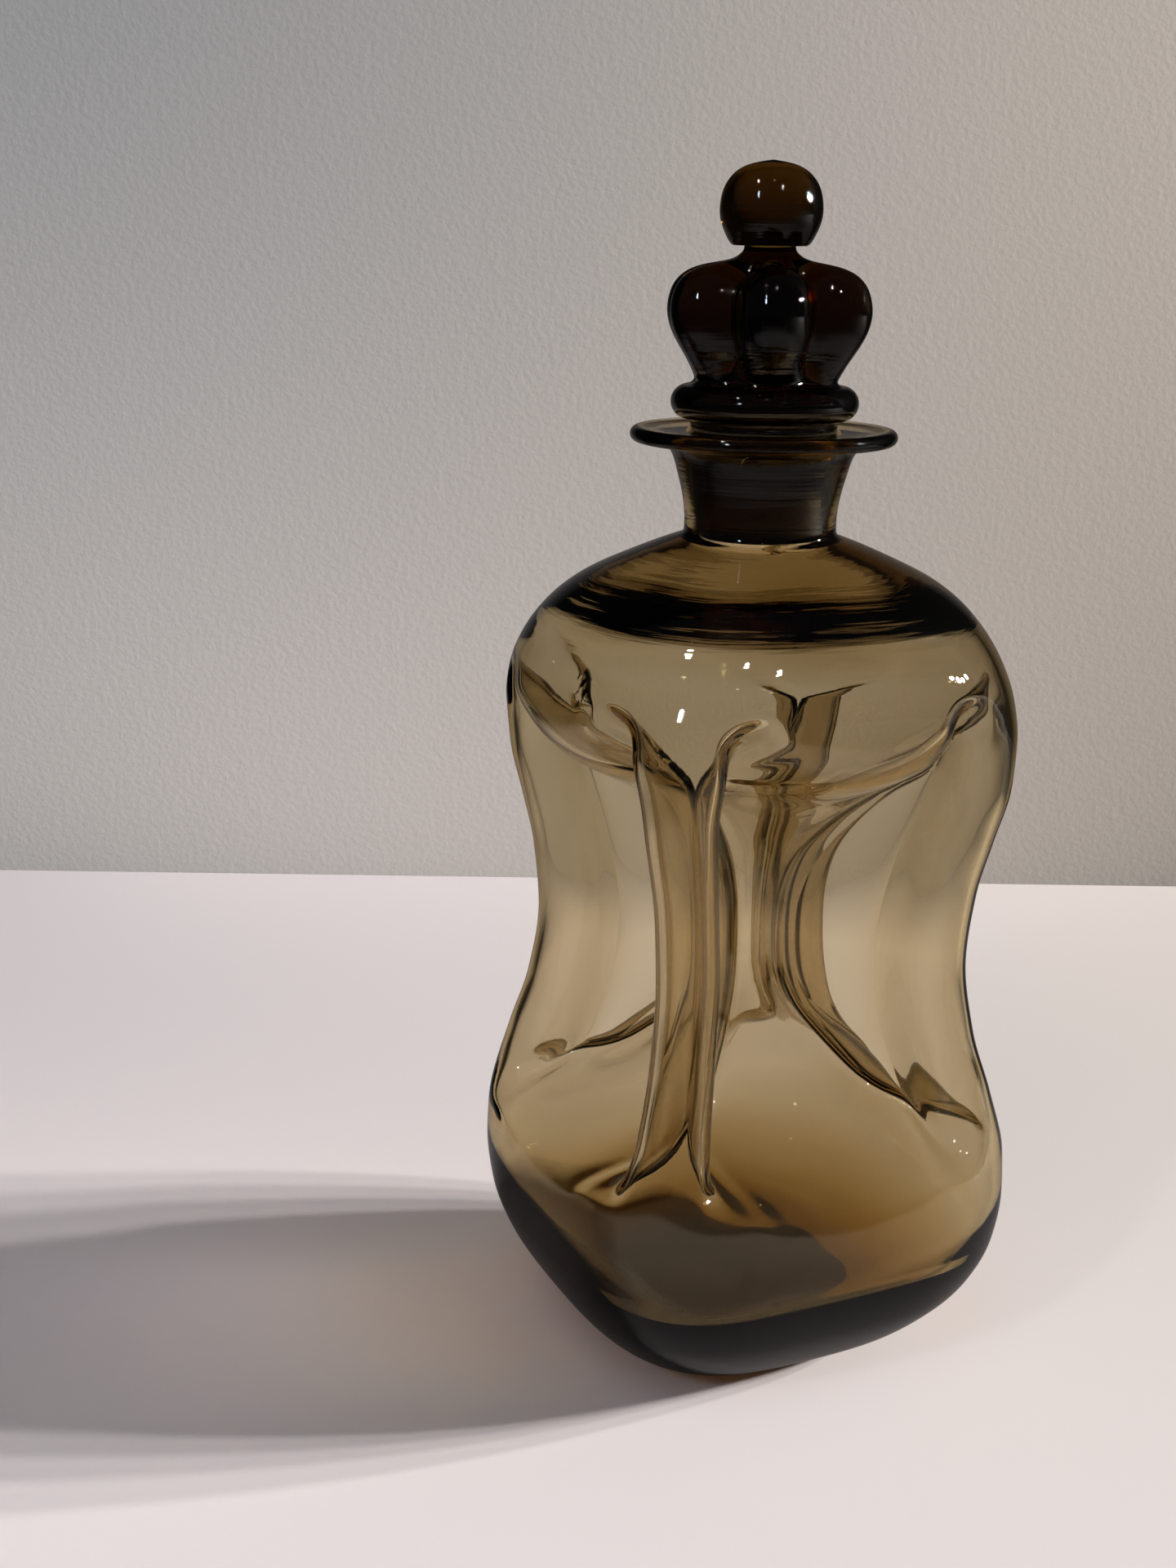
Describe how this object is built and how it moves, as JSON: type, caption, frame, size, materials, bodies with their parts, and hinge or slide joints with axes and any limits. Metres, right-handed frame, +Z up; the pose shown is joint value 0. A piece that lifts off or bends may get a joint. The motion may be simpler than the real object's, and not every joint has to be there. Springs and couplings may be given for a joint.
{
  "type": "decanter",
  "caption": "Square blown glass cluck decanter: faces pressed in at the waist leave corner tubes and a narrow throat; crown stopper with a ball lifts out of the lipped neck.",
  "frame": {"origin": "middle of the foot's underside, on the axis of the bottle", "axes": "+Z up along the axis to the stopper's ball; the pressed faces look along X and Y"},
  "size_m": [0.121, 0.121, 0.3001],
  "materials": {
    "smoke_glass": "gloss",
    "dark_glass": "gloss"
  },
  "bodies": {
    "bottle": {"body": "smoke_glass", "neck": "smoke_glass"},
    "stopper": {"stopper": "dark_glass"}
  },
  "joints": [
    {"name": "stopper_lift", "type": "slide", "parent": "bottle", "child": "stopper", "axis": [0, 0, 1], "range_m": [0, 0.06]}
  ]
}
